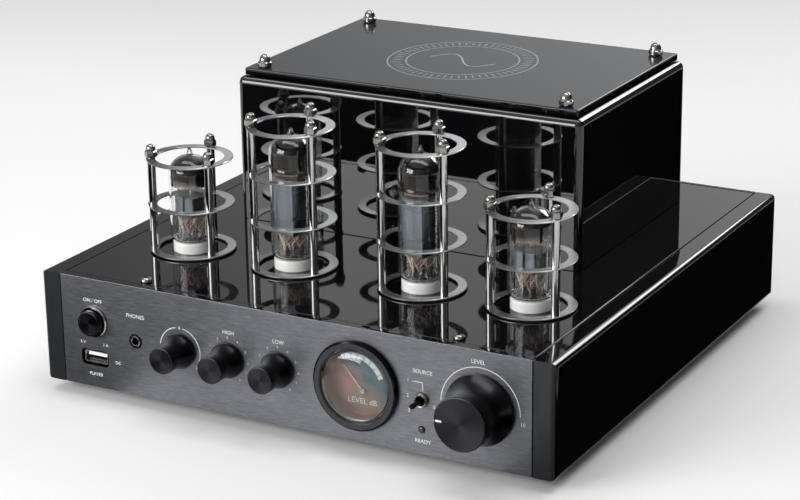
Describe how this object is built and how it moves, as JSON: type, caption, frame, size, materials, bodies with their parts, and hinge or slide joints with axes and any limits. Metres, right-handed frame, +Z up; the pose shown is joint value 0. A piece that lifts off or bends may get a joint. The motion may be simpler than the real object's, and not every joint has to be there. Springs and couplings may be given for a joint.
{
  "type": "integrated amplifier",
  "caption": "Low black integrated valve amplifier with guarded valves in a row, a boxed transformer cover, front knobs, round level meter, input lever and power button.",
  "frame": {"origin": "on the supporting surface, under the middle of the whole object", "axes": "+X to the right as seen from the front, +Y from the front panel to the rear connectors, +Z up"},
  "size_m": [0.27, 0.3024, 0.1446],
  "materials": {
    "gloss_black": "high gloss black lacquer",
    "satin_black": "satin black",
    "brushed_grey": "horizontally brushed dark grey anodised",
    "lid_grey": "polished dark grey",
    "black_aluminium": "black anodised with a spun face",
    "grey_steel": "zinc plated sheet",
    "dark_steel": "dark laminated steel",
    "satin_steel": "satin",
    "chrome": "polished",
    "pale_metal": "matt grey metal",
    "white_ceramic": "glazed white ceramic",
    "clear_glass": "clear",
    "black_rubber": "matt",
    "black_plastic": "moulded black",
    "board_green": "green circuit board",
    "dial_cream": "printed dial"
  },
  "bodies": {
    "amplifier": {"chassis_tray": "grey_steel", "top_deck": "gloss_black", "left_cheek": "gloss_black", "right_cheek": "gloss_black", "front_panel": "brushed_grey", "rear_panel": "satin_black", "transformer_cover": "gloss_black", "cover_lid": "lid_grey", "lid_screw_front_left": "chrome", "lid_screw_front_right": "chrome", "lid_screw_rear_left": "chrome", "lid_screw_rear_right": "chrome", "deck_screw_left": "chrome", "deck_screw_right": "chrome", "foot_front_left": "black_rubber", "foot_front_right": "black_rubber", "foot_rear_left": "black_rubber", "foot_rear_right": "black_rubber", "power_transformer": "dark_steel", "output_transformer_left": "dark_steel", "output_transformer_right": "dark_steel", "main_board": "board_green", "power_switch": "chrome", "toggle_switch": "chrome", "headphone_jack": "chrome", "usb_socket": "chrome", "indicator_led": "clear_glass", "meter_bezel": "satin_black", "meter_lens": "clear_glass", "meter_case": "black_plastic", "meter_dial": "dial_cream", "volume_potentiometer": "dark_steel", "tone_potentiometers": "board_green", "mains_inlet": "black_plastic", "line_input_jacks": "black_plastic", "speaker_terminals": "black_plastic", "valve_1_socket": "white_ceramic", "valve_1_glass": "clear_glass", "valve_1_electrodes": "pale_metal", "valve_1_guard": "satin_steel", "valve_2_socket": "white_ceramic", "valve_2_glass": "clear_glass", "valve_2_electrodes": "pale_metal", "valve_2_guard": "satin_steel", "valve_3_socket": "white_ceramic", "valve_3_glass": "clear_glass", "valve_3_electrodes": "pale_metal", "valve_3_guard": "satin_steel", "valve_4_socket": "white_ceramic", "valve_4_glass": "clear_glass", "valve_4_electrodes": "pale_metal", "valve_4_guard": "satin_steel"},
    "power_button": {"power_button": "satin_black"},
    "volume_knob": {"volume_knob": "black_aluminium"},
    "balance_knob": {"balance_knob": "black_aluminium"},
    "treble_knob": {"treble_knob": "black_aluminium"},
    "bass_knob": {"bass_knob": "black_aluminium"},
    "toggle_lever": {"toggle_lever": "chrome"},
    "meter_needle": {"meter_needle": "pale_metal"}
  },
  "joints": [
    {"name": "power_button_press", "type": "slide", "parent": "amplifier", "child": "power_button", "axis": [0, 1, 0], "range_m": [0, 0.0025], "stiffness_N_per_m": 600},
    {"name": "volume_turn", "type": "hinge", "parent": "amplifier", "child": "volume_knob", "pos_m": [0.0988, -0.13165, 0.0333], "axis": [0, 1, 0], "range_deg": [-55, 245]},
    {"name": "balance_turn", "type": "hinge", "parent": "amplifier", "child": "balance_knob", "pos_m": [-0.057, -0.13165, 0.0333], "axis": [0, 1, 0], "range_deg": [-150, 150]},
    {"name": "treble_turn", "type": "hinge", "parent": "amplifier", "child": "treble_knob", "pos_m": [-0.0307, -0.13165, 0.0333], "axis": [0, 1, 0], "range_deg": [-150, 150]},
    {"name": "bass_turn", "type": "hinge", "parent": "amplifier", "child": "bass_knob", "pos_m": [-0.0039, -0.13165, 0.0333], "axis": [0, 1, 0], "range_deg": [-150, 150]},
    {"name": "input_select", "type": "hinge", "parent": "amplifier", "child": "toggle_lever", "pos_m": [0.0701, -0.12835, 0.0324], "axis": [1, 0, 0], "range_deg": [-12.5, 12.5]},
    {"name": "meter_swing", "type": "hinge", "parent": "amplifier", "child": "meter_needle", "pos_m": [0.0372, -0.13115, 0.0283], "axis": [0, 1, 0], "range_deg": [0, 80], "stiffness_Nm_per_rad": 0.0001}
  ]
}
